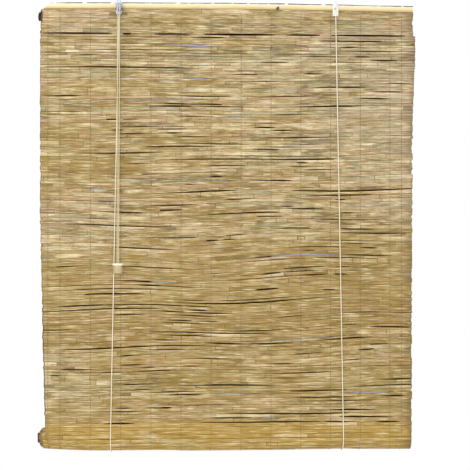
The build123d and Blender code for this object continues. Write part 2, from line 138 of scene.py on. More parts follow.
def drawn_noise(tree, place, scale, detail):
    """Noise with its own scale along each axis, in grains a metre."""
    stretched = add_node(tree, "ShaderNodeMapping", {"Vector": place, "Scale": scale})
    inputs = {"Vector": stretched.outputs[0], "Scale": 1.0, "Detail": detail}
    return add_node(tree, "ShaderNodeTexNoise", inputs).outputs


def fibre_noise(tree, place, along, across, detail):
    """Noise drawn out along X, as the fibres of a slat are."""
    return drawn_noise(tree, place, (1 / along, 1 / across, 1 / across), detail)


def speckle(tree, place, size, detail):
    """Noise in round spots of a size."""
    inputs = {"Vector": place, "Scale": 1 / size, "Detail": detail}
    return add_node(tree, "ShaderNodeTexNoise", inputs).outputs["Fac"]


def scaled_sum(tree, value, factor, addend):
    """Output of value times factor plus addend."""
    return add_node(
        tree, "ShaderNodeMath", {0: value, 1: factor, 2: addend}, operation="MULTIPLY_ADD"
    ).outputs[0]


def ranged(tree, value, start, end, low, high):
    """Number that goes from low to high as the value goes from start to end."""
    inputs = {"Value": value, "From Min": start, "From Max": end, "To Min": low, "To Max": high}
    return add_node(tree, "ShaderNodeMapRange", inputs).outputs[0]


def ramp(tree, value, stops):
    """Colour that a value picks between stops, each a position and a hex colour."""
    node = add_node(tree, "ShaderNodeValToRGB", {"Fac": value})
    elements = node.color_ramp.elements
    while len(elements) > 1:
        elements.remove(elements[-1])
    elements[0].position = stops[0][0]
    elements[0].color = linear(stops[0][1])
    for position, colour in stops[1:]:
        elements.new(position).color = linear(colour)
    return node.outputs[0]


# Sockets of a colour mix: how much of the upper colour, the lower colour and the upper one
mix_share, mix_lower, mix_upper, mix_result = 0, 6, 7, 2


def mixed(tree, share, lower, upper, **settings):
    """Colour with a share of another over it."""
    inputs = {mix_share: share, mix_lower: lower, mix_upper: upper}
    return add_node(tree, "ShaderNodeMix", inputs, data_type="RGBA", **settings).outputs[mix_result]


def layered(tree, colour, *layers):
    """Lay hex colours over one, each with a value, its start and end, and the share that it ends with."""
    for value, start, end, most, upper in layers:
        colour = mixed(tree, ranged(tree, value, start, end, 0.0, most), colour, linear(upper))
    return colour


def relief(tree, height, strength, depth):
    """Shading of a shallow relief."""
    inputs = {"Height": height, "Strength": strength, "Distance": depth}
    return add_node(tree, "ShaderNodeBump", inputs).outputs[0]


def finish_material(material, colour, roughness, normal=None, **others):
    """Join colour, roughness and relief in one shader, with its other sockets set as plain numbers."""
    inputs = {"Base Color": colour, "Roughness": roughness}
    inputs |= {name.replace("_", " "): value for name, value in others.items()}
    if normal is not None:
        inputs["Normal"] = normal
    shader = add_node(material.node_tree, "ShaderNodeBsdfPrincipled", inputs)
    add_node(material.node_tree, "ShaderNodeOutputMaterial", {"Surface": shader.outputs[0]})
    return material


# What the slats' material reads at every point
slat_marks = ("tone", "hue", "tick", "gold", "edge", "painted_backlight")
straw_stops = (
    (0.0, "#6C5934"), (0.25, "#927E50"), (0.5, "#B19B6D"), (0.75, "#C9B48A"), (1.0, "#E7D6AB"),
)


def split_bamboo(name, pink_strength, gold_colour, gold_strength):
    """Split bamboo, sanded and lacquered matt: long fibres, blocks of tone between nodes, edges darkened
    partly by real browning and partly as painted shade.
    """
    material, tree, place = new_material(name)
    tone, hue, tick, gold, edge, painted_backlight = [read_mark(tree, mark) for mark in slat_marks]

    # Fibre bundles 0.5 mm across, streaks and cracks 1.7 mm across and stains that spread over whole slats
    fine = fibre_noise(tree, place, 60 * mm, 0.5 * mm, 2.0)["Fac"]
    broad = fibre_noise(tree, place, 26 * mm, 1.8 * mm, 3.0)["Fac"]
    crack = fibre_noise(tree, place, 40 * mm, 1.7 * mm, 1.0)["Fac"]
    mottle = fibre_noise(tree, place, 6 * mm, 2.6 * mm, 1.0)["Fac"]
    stain = fibre_noise(tree, place, 42 * mm, 11 * mm, 2.0)
    gold_cloud = fibre_noise(tree, place, 70 * mm, 7 * mm, 2.0)["Fac"]
    wide_cloud = fibre_noise(tree, place, 240 * mm, 60 * mm, 1.0)["Fac"]

    streaked_tone = scaled_sum(tree, broad, 1.6, tone)
    stained_tone = scaled_sum(tree, stain["Fac"], 0.9, streaked_tone)
    mottled_tone = scaled_sum(tree, mottle, 0.6, stained_tone)
    straw = ramp(tree, scaled_sum(tree, mottled_tone, 1.0, -1.55), straw_stops)

    # Pink and green stains, golden clouds and grey ones
    tint = scaled_sum(tree, stain["Color"], 3.0, hue)
    finer_gold = scaled_sum(tree, gold_cloud, 2.0, gold)
    clouded_gold = scaled_sum(tree, wide_cloud, 1.6, finer_gold)
    weathered = layered(
        tree, straw,
        (tint, 1.5, 0.5, pink_strength, "#C2A084"),
        (tint, 1.6, 2.6, 0.45, "#9A9870"),
        (clouded_gold, 1.75, 2.85, gold_strength, gold_colour),
        (clouded_gold, 1.9, 1.2, 0.5, "#A4977F"),
    )
    fibre = ramp(tree, fine, ((0.3, "#D6D0C6"), (0.6, "#FFFFFF")))
    fibred = mixed(tree, 1.0, weathered, fibre, blend_type="MULTIPLY")

    # Dark cracks, shining streaks, nodes, side walls darkened partly by real browning and partly as painted
    # shade, webs in the gaps painted near black as painted shade, and a few webs painted pale grey as painted
    # backlight
    finished = layered(
        tree, fibred,
        (crack, 0.57, 0.68, 0.62, "#6B5428"),
        (crack, 0.42, 0.31, 0.55, "#E9DCB4"),
        (tick, 0.0, 1.0, 0.85, "#4A3A22"),
        (edge, 0.0, 0.7, 0.85, "#5E4014"),
        (edge, 0.55, 0.95, 1.0, "#1C1003"),
        (painted_backlight, 0.0, 1.0, 1.0, "#98A0A4"),
    )
    sheen = ranged(tree, edge, 0.0, 1.0, 0.3, 0.0)
    roughness = ranged(tree, broad, 0.0, 1.0, 0.42, 0.62)
    fine_relief = relief(tree, fine, 0.35, 0.2 * mm)
    return finish_material(material, finished, roughness, fine_relief, Specular_IOR_Level=sheen)


def waxed_thread():
    """Waxed cotton thread, twisted: dull brown, with a fine twist that catches light, painted lighter on its
    ridges and darker in its grooves as painted shade.
    """
    material, tree, place = new_material("waxed_thread")
    inputs = {"Vector": place, "Scale": 1 / (0.6 * mm) / 6.283}
    twist = add_node(tree, "ShaderNodeTexWave", inputs, bands_direction="DIAGONAL").outputs["Fac"]
    colour = ramp(tree, twist, ((0.0, "#5B4A2E"), (1.0, "#86714D")))
    return finish_material(material, colour, 0.8, relief(tree, twist, 0.4, 0.1 * mm))


def planed_lath():
    """Planed bamboo lath, oiled: cream yellow, a painted highlight near white along its top, darker tan at
    its foot, and a broken painted shadow line along its arris.
    """
    material, tree, place = new_material("planed_bamboo_lath")
    grain = fibre_noise(tree, place, 110 * mm, 1.1 * mm, 4.0)["Fac"]
    cloud = fibre_noise(tree, place, 60 * mm, 8 * mm, 2.0)["Fac"]
    patches = fibre_noise(tree, place, 22 * mm, 40 * mm, 2.0)["Fac"]
    level = read_mark(tree, "level")
    wander = scaled_sum(tree, cloud, 5 * mm, level)
    by_arris = ranged(tree, level, -8.3 * mm, -7.5 * mm, -0.5, 1.0)
    painted_shadow_line = scaled_sum(tree, patches, 5.0, by_arris)
    cream = ramp(tree, grain, ((0.25, "#CDBB84"), (0.5, "#DDCD9C"), (0.75, "#E6DCB2")))
    # Darker tan at the foot, a painted highlight near white along the top, and a broken painted shadow line
    # along the front arris
    colour = layered(
        tree, cream,
        (wander, -11.5 * mm, -16 * mm, 1.0, "#BDA672"),
        (wander, -9.0 * mm, -6.0 * mm, 1.0, "#DEDAC9"),
        (painted_shadow_line, 3.0, 3.2, 1.0, "#4F4B40"),
    )
    grain_relief = relief(tree, grain, 0.2, 0.2 * mm)
    return finish_material(material, colour, 0.45, grain_relief, Specular_IOR_Level=0.3)


def bamboo_skin():
    """Bamboo pole in its own skin: waxy olive tan outside; its hollow painted near black as painted shade,
    its cut ends darkened partly by stain and partly as painted shade.
    """
    material, tree, place = new_material("bamboo_skin")
    streak = fibre_noise(tree, place, 100 * mm, 3 * mm, 3.0)["Fac"]
    skin = ramp(tree, streak, ((0.3, "#8A6B3A"), (0.55, "#B18F55"), (0.75, "#C9AC72")))
    colour = layered(tree, skin, (read_mark(tree, "stain_and_shade"), 0.0, 1.0, 1.0, "#1A1209"))
    streak_relief = relief(tree, streak, 0.25, 0.3 * mm)
    return finish_material(material, colour, 0.45, streak_relief, Specular_IOR_Level=0.3)


def zinc_plated(name, dull, bright):
    """Zinc-plated sheet steel, stamped: cool grey with a faint mottled bloom and soft reflections."""
    material, tree, place = new_material(name)
    bloom = speckle(tree, place, 4 * mm, 3.0)
    colour = ramp(tree, bloom, ((0.35, dull), (0.65, bright)))
    return finish_material(material, colour, ranged(tree, bloom, 0.0, 1.0, 0.3, 0.5), Metallic=0.9)


def moulded_nylon():
    """Moulded nylon: cool grey, slightly waxy, with the faint grain of the mould."""
    material, tree, place = new_material("moulded_nylon")
    colour = ramp(tree, speckle(tree, place, 0.5 * mm, 2.0), ((0.3, "#A9ADBA"), (0.7, "#BCC0CC")))
    return finish_material(material, colour, 0.4, Specular_IOR_Level=0.5)


def braided_cotton(name, stops, worn_colour):
    """Cotton cord of three twisted strands: warm off-white, matt, painted darker in the grooves between its
    strands as painted shade, greyed by the pulley.
    """
    material, tree, place = new_material(name)
    fluff = speckle(tree, place, 0.4 * mm, 2.0)
    worn = speckle(tree, place, 60 * mm, 2.0)
    spot = add_node(tree, "ShaderNodeSeparateXYZ", {"Vector": place}).outputs
    high = ranged(tree, spot["Z"], -28 * mm, -25 * mm, 0.0, 1.0)
    by_pulley = ranged(tree, spot["X"], -240 * mm, -245 * mm, 0.0, 0.9)
    greyed = scaled_sum(tree, high, by_pulley, 0.0)
    # The lay mark paints shade into the grooves between the strands
    colour = layered(
        tree, ramp(tree, read_mark(tree, "lay"), stops),
        (worn, 0.0, 1.0, 1.0, worn_colour),
        (greyed, 0.0, 1.0, 1.0, "#B9BCC8"),
    )
    return finish_material(material, colour, 0.85, relief(tree, fluff, 0.4, 0.15 * mm), Sheen_Weight=0.15)


def turned_wood():
    """Turned hardwood knob, sanded and sealed: pale beige with fine growth lines round it."""
    material, tree, place = new_material("turned_hardwood_knob")
    lines = drawn_noise(tree, place, (500, 500, 60), 3.0)["Fac"]
    colour = ramp(tree, lines, ((0.3, "#A29064"), (0.55, "#B4A278"), (0.75, "#C2B38A")))
    line_relief = relief(tree, lines, 0.2, 0.2 * mm)
    return finish_material(material, colour, 0.4, line_relief, Specular_IOR_Level=0.45)


def moulded_cap():
    """Moulded plastic cap: satin cream, yellowed with age, with the fine grain of its mould."""
    material, tree, place = new_material("moulded_cream_cap")
    grain = speckle(tree, place, 0.6 * mm, 2.0)
    colour = ramp(tree, grain, ((0.3, "#E6DABE"), (0.7, "#F2E8D1")))
    grain_relief = relief(tree, grain, 0.08, 0.1 * mm)
    return finish_material(material, colour, 0.35, grain_relief, Specular_IOR_Level=0.5)


slat_straw = split_bamboo("split_bamboo_straw", 0.5, "#94772A", 0.7)
roll_straw = split_bamboo("split_bamboo_golden", 0.2, "#AB882C", 0.8)
thread_material = waxed_thread()
skin_material = bamboo_skin()
screw_zinc = zinc_plated("zinc_screws", "#A8A8A4", "#D2D2CE")
cord_material = braided_cotton(
    "twisted_cotton_cord", ((0.0, "#A89C80"), (0.4, "#DCD3BB"), (1.0, "#EFE8D4")), "#D8CDB0"
)
handled_cord = braided_cotton(
    "handled_cotton_cord", ((0.0, "#8F7F5C"), (0.4, "#BFAE86"), (1.0, "#D3C49C")), "#BBA982"
)
knot_cotton = braided_cotton("knotted_cotton_cord", ((0.0, "#EFE9D2"), (1.0, "#EFE9D2")), "#E6DFC4")

finishes = (
    (zinc_plated("blue_zinc_plate", "#8F96A4", "#B2B8C6"), ["hanger_left"]),
    # The right hanger is the same zinc as the left, painted brighter as a painted highlight
    (zinc_plated("zinc_plate_painted_highlight", "#D5D4CC", "#F0EFE8"), ["hanger_right"]),
    (screw_zinc, ["hanger_screws", "pulley_pin", "strand_eye_left", "strand_eye_right"]),
    (screw_zinc, ["cross_eye_left", "cross_eye_right"]),
    (moulded_nylon(), ["sheave_outer", "sheave_inner"]),
    (turned_wood(), ["pull_knob"]),
    (moulded_cap(), ["pull_cap"]),
    (knot_cotton, ["foot_knot_left", "foot_knot_right"]),
    (cord_material, ["pull_knot"]),
)
for material, nodes in finishes:
    for node in nodes:
        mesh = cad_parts[node].data
        mesh.materials.clear()
        mesh.materials.append(material)


def clipped(value):
    """The value held between none and all."""
    return np.clip(value, 0, 1)


def wave(x, length, phase):
    """Height of a wave at x, between minus one and one."""
    return np.sin(full_turn * x / length + phase)


def any_phase(draw):
    """A starting point anywhere in a wave."""
    return draw.uniform(0, 6.3)


def bump(value, middle, reach):
    """A smooth rise round a middle, one there and nearly nothing past its reach."""
    return np.exp(-(((value - middle) / reach) ** 2))


# The hem's rear flap, from its end (y, z) up to the angle where it meets the head pole
flap_start = (sheet_y + flap_gap, hem_end_z)
flap_y = flap_start[0] - head_pole_y
flap_z = flap_start[1] - head_pole_z
flap_angle = math.atan2(flap_z, flap_y) + math.acos(hem_radius / math.hypot(flap_y, flap_z))


def round_head_pole(angle):
    """Point (y, z) on the mat's turn over the head pole."""
    return (head_pole_y + hem_radius * math.cos(angle), head_pole_z + hem_radius * math.sin(angle))


# Lengths of mat from the flap's end to the pole, to the hem's top and to the corner below the rail
flap_end = round_head_pole(flap_angle)
flap_length = math.dist(flap_start, flap_end)
hem_top = flap_length + hem_radius * (math.pi / 2 - flap_angle)
hem_corner = hem_top + hem_radius


def hem_path(distance):
    """Point (y, z) on the hem, from its rear end up, over the pole and down in front."""
    if distance < flap_length:
        share = distance / flap_length
        return tuple(start + share * (end - start) for start, end in zip(flap_start, flap_end))
    if distance < hem_top:
        return round_head_pole(flap_angle + (distance - flap_length) / hem_radius)
    # The front of the fold is pressed up into the corner below the rail
    if distance < hem_corner:
        return (head_pole_y - (distance - hem_top), head_pole_z + hem_radius)
    return (sheet_y, front_top_z - (distance - hem_corner))


def sheet_path(distance):
    """Point (y, z) on the hanging sheet, from just under the hem downward."""
    return (sheet_y, hem_end_z - joint_gap - distance)


def roll_path(distance):
    """Point (y, z) on the roll's spiral, from its front round to the core."""
    slope = turn_pitch / full_turn
    turn = (roll_outer_path - math.sqrt(roll_outer_path**2 - 2 * slope * distance)) / slope
    radius = roll_outer_path - slope * turn
    return (roll_y - radius * math.cos(turn), roll_z - radius * math.sin(turn))


roll_turns = (roll_outer_path - roll_core_path) / turn_pitch
roll_length = math.pi * (roll_outer_path + roll_core_path) * roll_turns
sheet_length = hem_end_z - roll_z - 2 * joint_gap


def rail_bow(x):
    """How far the lath of the head rail has warped upward at x."""
    return np.interp(x, [place * mm for place, _ in rail_bows], [rise * mm for _, rise in rail_bows])


def path_frame(path, distance):
    """Place, direction along the band and outward direction at a distance, all in (y, z)."""
    step = 0.02 * mm
    before = np.array(path(distance - step))
    after = np.array(path(distance + step))
    along = (after - before) / np.linalg.norm(after - before)
    return (before + after) / 2, along, np.array((along[1], -along[0]))


def slat_edges(total, draw):
    """Distances of the seams along a band whose slats differ in width."""
    shares = [draw.uniform(0.64, 1.36) for _ in range(round(total / slat_width))]
    edges = [0.0]
    for share in shares:
        edges.append(edges[-1] + total * share / sum(shares))
    return edges


def new_seam(draw, line, wander):
    """A seam between two slats, with its dark line's width and its wandering."""
    waves = [(wander * draw.uniform(0.3, 1), draw.uniform(0.25, 0.9), any_phase(draw)) for _ in range(3)]
    seam_shade_waves = [(draw.uniform(0.1, 0.5), any_phase(draw)) for _ in range(2)]
    return {
        "gaps": [], "waves": waves, "line": line * draw.uniform(0.3, 1.7), "seam_shade": draw.uniform(0.1, 0.75),
        "seam_shade_waves": seam_shade_waves, "bow": 0.0,
    }


def add_gap(seam, draw, start, length, height):
    """Let a lens-shaped gap open in a seam; some get a painted backlight, pale grey on the web behind, some a
    painted highlight on the face below.
    """
    seam["gaps"].append(
        {
            "start": start, "length": length, "height": height, "skew": draw.uniform(0.6, 1.7),
            "blunt": draw.random() < 0.35, "painted_backlight": float(draw.random() < 0.07),
            "cream": float(draw.random() < 0.4),
        }
    )


def add_gaps(seam, draw, count, shortest, mean_more, lowest, tallest):
    """Add gaps of drawn length and height at drawn places in a seam."""
    longest = 300 * mm
    past_end = 15 * mm
    for _ in range(count):
        length = min(shortest + draw.expovariate(1 / mean_more), longest)
        start = draw.uniform(mat_left - past_end, mat_right + past_end - length)
        add_gap(seam, draw, start, length, draw.uniform(lowest, tallest))


def gap_marks(seam, x):
    """Half height of a seam at the stations x, how open it is there, and how much painted backlight and
    painted highlight below it get.
    """
    half = np.full_like(x, seam["line"] / 2)
    opening, painted_backlight, cream = np.zeros((3, len(x)))
    for gap in seam["gaps"]:
        share = clipped((x - gap["start"]) / gap["length"])
        bell = np.sin(np.pi * share ** gap["skew"]) ** (0.3 if gap["blunt"] else 0.75)
        half = np.maximum(half, gap["height"] / 2 * bell)
        opening = np.maximum(opening, bell)
        painted_backlight = np.maximum(painted_backlight, bell * gap["painted_backlight"])
        cream = np.maximum(cream, bell * gap["cream"])
    return half, opening, painted_backlight, cream


def seam_wave(seam, x):
    """How far a seam wanders up and down at the stations x."""
    drift = sum(height * wave(x, length, phase) for height, length, phase in seam["waves"])
    return drift - seam["bow"] * rail_bow(x)


def painted_seam_shade(seam, x):
    """How much painted shade a closed seam's edge gets at the stations x: it comes and goes along the slat.
    """
    swing = sum(wave(x, length, phase) for length, phase in seam["seam_shade_waves"])
    return seam["seam_shade"] * clipped(0.55 + 0.4 * swing)


# Below this height the sheet is as golden and close as the roll
golden_z = -1012 * mm


def slat_drift(x, z):
    """How far the sheet's slats have slipped up along their threads at x and z: they climb to the right."""
    share = np.interp(-z, (0.077, 0.35, 0.6, 0.86, 1.0), (0, 0.5, 1, 0.9, 0))
    along = clipped((x + 120 * mm) / (560 * mm))
    climb = 13 * mm * along**2 * (3 - 2 * along)
    sway = 4.5 * mm * wave(x, 520 * mm, z / (90 * mm))
    return share * (climb + sway)


def drifted(points):
    """Move points of the sheet up by the drift of its slats."""
    points[:, 2] += slat_drift(points[:, 0], points[:, 2])
    return points


def weathering(x, z):
    """How much more golden (above zero) or greyer the mat has weathered at x and z."""
    if z < golden_z:
        return np.zeros_like(x)
    rightward = clipped(x / (400 * mm))
    leftward = clipped(-x / (300 * mm))
    golden = 0.6 * bump(z, -700 * mm, 100 * mm) + 0.5 * leftward * bump(z, -370 * mm, 50 * mm)
    greyed = 0.9 * rightward * bump(z, -280 * mm, 260 * mm) + 0.6 * leftward * bump(z, -560 * mm, 70 * mm)
    greyed += 0.9 * bump(x, -400 * mm, 120 * mm) * bump(z, -910 * mm, 90 * mm)
    return golden - greyed


def tone_blocks(draw, style):
    """Places along one slat where its look changes: how softly, to which colours, and with a node or not."""
    base = draw.gauss(style["tone"], style["tone_spread"])
    base_hue = draw.gauss(0, 0.3)
    base_gold = draw.gauss(0, 0.12)
    cuts = []
    x = mat_left - draw.uniform(0, 200 * mm)
    while x < mat_right:
        tone = base + draw.gauss(0, style["block_spread"])
        if draw.random() < style["cream_share"]:
            tone = draw.uniform(0.85, 1.1)
        if draw.random() < style["dark_share"]:
            tone = draw.uniform(-0.1, 0.15)
        abrupt = draw.random() < 0.3
        cuts.append(
            {
                "x": x, "soft": 0.4 * mm if abrupt else draw.uniform(10, 50) * mm, "tone": tone,
                "hue": base_hue + draw.gauss(0, 0.6), "gold": base_gold + draw.gauss(0, 0.25),
                "node": abrupt and draw.random() < 0.5,
            }
        )
        x += 18 * mm + draw.expovariate(1 / style["block_length"])
    return cuts


def slat_stations(left, right, seams, cuts, count):
    """Places along a slat where its section is drawn: an even run, and the ends of gaps and blocks."""
    stations = list(np.linspace(left, right, count))
    stations += [left + 1.5 * mm, left + 2.3 * mm, left + 2.6 * mm, right - 1.5 * mm]
    for seam in seams:
        for gap in seam["gaps"]:
            stations += [gap["start"] + gap["length"] * u for u in (0, 0.03, 0.12, 0.3, 0.55, 0.8, 0.93, 1)]
    for cut in cuts[1:]:
        stations += [cut["x"] - cut["soft"] / 2, cut["x"] + cut["soft"] / 2]
        if cut["node"]:
            stations += [cut["x"] - 1.0 * mm, cut["x"] + 1.0 * mm]
    stations = sorted(station for station in stations if left <= station <= right)
    kept = [stations[0]]
    for station in stations[1:]:
        if station - kept[-1] > 0.15 * mm:
            kept.append(station)
    return np.array(kept)


def slat_look(x, cuts):
    """Tone, hue and gold of a slat at the stations x, block by block, and where its nodes show."""
    look = {mark: np.zeros_like(x) for mark in ("tone", "hue", "gold")}
    tick = np.zeros_like(x)
    for cut in cuts:
        passed = clipped((x - cut["x"]) / cut["soft"] + 0.5)
        for mark in look:
            look[mark] = look[mark] + (cut[mark] - look[mark]) * passed
        if cut["node"]:
            tick = np.where(np.abs(x - cut["x"]) < 0.6 * mm, 1.0, tick)
    return look, tick


def tube_faces(rows, sides, first=0, flip=False):
    """Faces round a tube of rows of points and over its two ends; flip if its rings run the other way."""
    faces = []
    for a in range(first, first + (rows - 1) * sides, sides):
        for corner in range(sides):
            following = (corner + 1) % sides
            face = (a + corner, a + following, a + sides + following, a + sides + corner)
            faces.append((face[0], *face[:0:-1]) if flip else face)
    last = first + (rows - 1) * sides
    ends = [tuple(reversed(range(first, first + sides))), tuple(range(last, last + sides))]
    return faces + [end[::-1] if flip else end for end in ends]


# Points of a slat's section, in turn: down its face, over the low web, the back and the top web
face_top, face_low = 0, 4
inner_face = slice(1, 4)
low_web = slice(5, 7)
back_side = slice(7, 9)
top_web = slice(9, 11)


def lay_slat(store, draw, band, number, cuts, style, left, right, count):
    """Add one slat, lofted along X between its two seams, to the band's stored points and faces."""
    path, edges, seams = band
    start, end = edges[number : number + 2]
    above, below = seams[number : number + 2]
    x = slat_stations(left, right, (above, below), cuts, count)
    place, along, out = path_frame(path, (start + end) / 2)
    _, along_top, _ = path_frame(path, start + 0.1 * mm)
    _, along_low, _ = path_frame(path, end - 0.1 * mm)
    bend = math.acos(max(-1.0, min(1.0, float(along_top @ along_low))))
    pinch = slat_thickness * math.tan(bend / 2)
    half = (end - start) / 2
    top_gap, top_open, top_painted_backlight, top_painted_highlight = gap_marks(above, x)
    low_gap, low_open, low_painted_backlight, _ = gap_marks(below, x)
    thin = draw.uniform(0, 0.2) * slat_thickness
    tilt = draw.gauss(0, style["tilt"])
    phase = any_phase(draw)
    bow = style["bow"] * wave(x, draw.uniform(0.3, 0.8), phase)
    crown = draw.uniform(0.1, 0.35) * mm

    look, tick = slat_look(x, cuts)
    # The right-hand ends have bleached, but not low down
    bleached_from = 385 * mm
    bleached_over = 60 * mm
    bleach = clipped((x - bleached_from) / bleached_over) * clipped((place[1] + 0.75) / 0.25)
    look["hue"] = look["hue"] - 0.5 * bleach
    tone = look["tone"] + 0.12 * bleach
    ridge_height = 0.25 * mm
    ridge = tick * ridge_height
    # Both ends of every slat are darkened, partly as end grain and partly as painted shade
    dark_end = 1.6 * mm
    tick = np.maximum(tick, 0.6 * (np.minimum(x - x[0], x[-1] - x) < dark_end))
    # Lower down, the slats' left ends are painted dark as painted shade along the mat's left edge
    weathered = clipped((-place[1] - 0.6) / 0.15) if place[1] > golden_z else draw.random() * 0.5
    shaded_left_end = 2.4 * mm
    tick = np.maximum(tick, weathered * (x - x[0] < shaded_left_end))
    tone += style["swell"] * wave(x, draw.uniform(0.07, 0.3), any_phase(draw))

    edge_round = 0.35 * mm
    shoulder = 0.8 * mm
    hair = 0.02 * mm
    web_thickness = 0.6 * mm
    face = slat_thickness / 2 - thin + bow
    back = -slat_thickness / 2 + bow
    web = back + web_thickness
    top = -half + seam_wave(above, x)
    low = half + seam_wave(below, x)
    top_front = top + top_gap
    low_front = low - low_gap
    top_back = top + hair + pinch
    low_back = low - hair - pinch
    steps = [
        top_front, top_front + shoulder, (top_front + low_front) / 2, low_front - shoulder, low_front,
        np.minimum(low_front, low_back + 2 * pinch), low_back, low_back, top_back, top_back,
        np.maximum(top_front, top_back - 2 * pinch),
    ]
    depths = [
        face - edge_round + tilt, face + ridge + tilt, face + crown + ridge, face + ridge - tilt,
        face - edge_round - tilt, web, web, back, back, web, web,
    ]
    ring = len(depths)
    points = np.empty((len(x), ring, 3))
    for corner, (step, depth) in enumerate(zip(steps, depths)):
        points[:, corner, 0] = x
        points[:, corner, 1] = place[0] + along[0] * step + out[0] * depth
        points[:, corner, 2] = place[1] + along[1] * step + out[1] * depth

    # Painted shade: the edge mark darkens the side walls and webs and the face's edges at the seams, more
    # where gaps open; the back gets a little brown
    edge = np.ones((len(x), ring))
    edge[:, inner_face] = 0.0
    edge[:, back_side] = 0.15
    top_seam_shade = painted_seam_shade(above, x)
    low_seam_shade = painted_seam_shade(below, x)
    edge[:, face_top] = (top_seam_shade + (0.8 - top_seam_shade) * top_open) * (1 - 0.8 * top_painted_highlight)
    edge[:, face_low] = low_seam_shade + (0.8 - low_seam_shade) * low_open
    # Painted backlight: the webs behind a few gaps are painted pale grey
    painted_backlight = np.zeros_like(edge)
    painted_backlight[:, low_web] = low_painted_backlight[:, None]
    painted_backlight[:, top_web] = top_painted_backlight[:, None]
    # Painted highlight: below some gaps the upper part of the face is painted cream, as if lit
    ring_tone = np.repeat(tone[:, None], ring, axis=1)
    ring_tone[:, 0:2] += (0.5 * top_painted_highlight)[:, None]
    ring_tone[:, 2] += 0.15 * top_painted_highlight
    gold = style["gold"](place[1]) + look["gold"] + weathering(x, place[1])
    for mark, values in (("tone", ring_tone), ("edge", edge), ("painted_backlight", painted_backlight)):
        store[mark].append(values.reshape(-1))
    for mark, values in (("hue", look["hue"]), ("tick", tick), ("gold", gold)):
        store[mark].append(np.repeat(values, ring))
    store["points"].append(points.reshape(-1, 3))
    store["faces"] += tube_faces(len(x), ring, store["count"])
    store["count"] += len(x) * ring


def new_store():
    """Empty lists for a band's points, faces and marks."""
    return {"points": [], "faces": [], "count": 0} | {mark: [] for mark in slat_marks}


def mesh_piece(name, points, faces, material, marks=(), crease_angle=40):
    """Make a mesh object in the row frame, smooth but for its creases, with marks that its material reads."""
    mesh = bpy.data.meshes.new(name)
    mesh.from_pydata(points if isinstance(points, list) else points.tolist(), [], faces)
    mesh.update()
    for mark, values in dict(marks).items():
        mesh.attributes.new(mark, "FLOAT", "POINT").data.foreach_set("value", np.asarray(values, np.float32))
    mesh.polygons.foreach_set("use_smooth", [True] * len(mesh.polygons))
    mesh.set_sharp_from_angle(angle=math.radians(crease_angle))
    mesh.materials.append(material)
    piece = bpy.data.objects.new(name, mesh)
    bpy.context.scene.collection.objects.link(piece)
    return piece


def band_piece(name, store, material, node):
    """Turn a stored band of slats into one piece that takes the place of a node."""
    marks = {mark: np.concatenate(store[mark]) for mark in slat_marks}
    piece = mesh_piece(name, np.concatenate(store["points"]), store["faces"], material, marks)
    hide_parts(node)
    return piece


sheet_style = {
    "tone": 0.5, "tone_spread": 0.07, "block_spread": 0.16, "block_length": 38 * mm, "swell": 0.08,
    "cream_share": 0.07, "dark_share": 0.06, "tilt": 0.12 * mm, "bow": 0.25 * mm,
    "gold": lambda z: 0.15 + 0.85 * clipped((-z - 0.1) / 0.95),
}
hem_style = {
    "tone": 0.41, "tone_spread": 0.09, "block_spread": 0.1, "block_length": 70 * mm, "swell": 0.07,
    "cream_share": 0.03, "dark_share": 0.04, "tilt": 0.08 * mm, "bow": 0.1 * mm,
    "gold": lambda z: 0.12,
}
roll_style = {
    "tone": 0.53, "tone_spread": 0.16, "block_spread": 0.18, "block_length": 50 * mm, "swell": 0.08,
    "cream_share": 0.04, "dark_share": 0.04, "tilt": 0.06 * mm, "bow": 0.08 * mm,
    "gold": lambda z: 1.35,
}

# Heights in mm of the seams that stand open longest in the sheet
long_seams = (160, 177, 254, 383, 456, 540, 623, 647, 734, 824, 836, 870, 914, 945, 987)

# Where the long dark line under the hem runs, as start and end along X in mm
hem_line_runs = ((-447, -276), (-254, -232), (-178, -92), (-60, 118), (140, 226), (250, 436))

# Gaps whose webs get a painted backlight, each with its middle along X, its height and its length in mm
painted_backlight_gaps = ((-78, -184, 60), (-70, -106, 120), (222, -104, 90))


def hem_line(seam, draw):
    """Open the seam under the hem nearly all along."""
    for start, end in hem_line_runs:
        height = draw.uniform(3.4, 4.4) * mm
        run = {"start": start * mm, "length": end * mm - start * mm, "height": height}
        seam["gaps"].append(run | {"skew": 1.0, "blunt": True, "painted_backlight": 0.0, "cream": 0.0})


